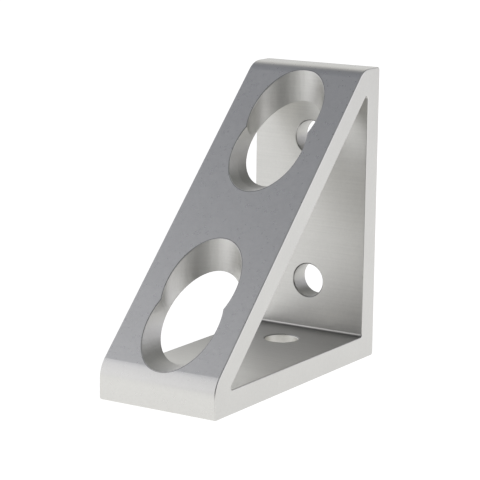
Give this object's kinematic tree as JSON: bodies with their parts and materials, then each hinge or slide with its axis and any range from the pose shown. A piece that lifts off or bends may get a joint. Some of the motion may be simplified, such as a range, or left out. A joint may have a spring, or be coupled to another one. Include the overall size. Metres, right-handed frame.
{
  "type": "t slot corner bracket",
  "caption": "Right-angle corner bracket of extruded aluminium for T slot framing: a hollow triangle with screw holes in its legs and driver openings in the sloped web.",
  "frame": {"origin": "middle of the base leg's mounting face, halfway between its screw holes and across its width", "axes": "+X from the corner to the base leg's tip, +Y across the width, +Z away from the base leg's mounting face, along the upright leg, whose mounting face is towards -X"},
  "size_m": [0.0508, 0.0222, 0.0508],
  "materials": {
    "anodised_aluminium": "clear anodised, satin"
  },
  "bodies": {
    "root": {"corner_bracket": "anodised_aluminium"}
  },
  "joints": []
}
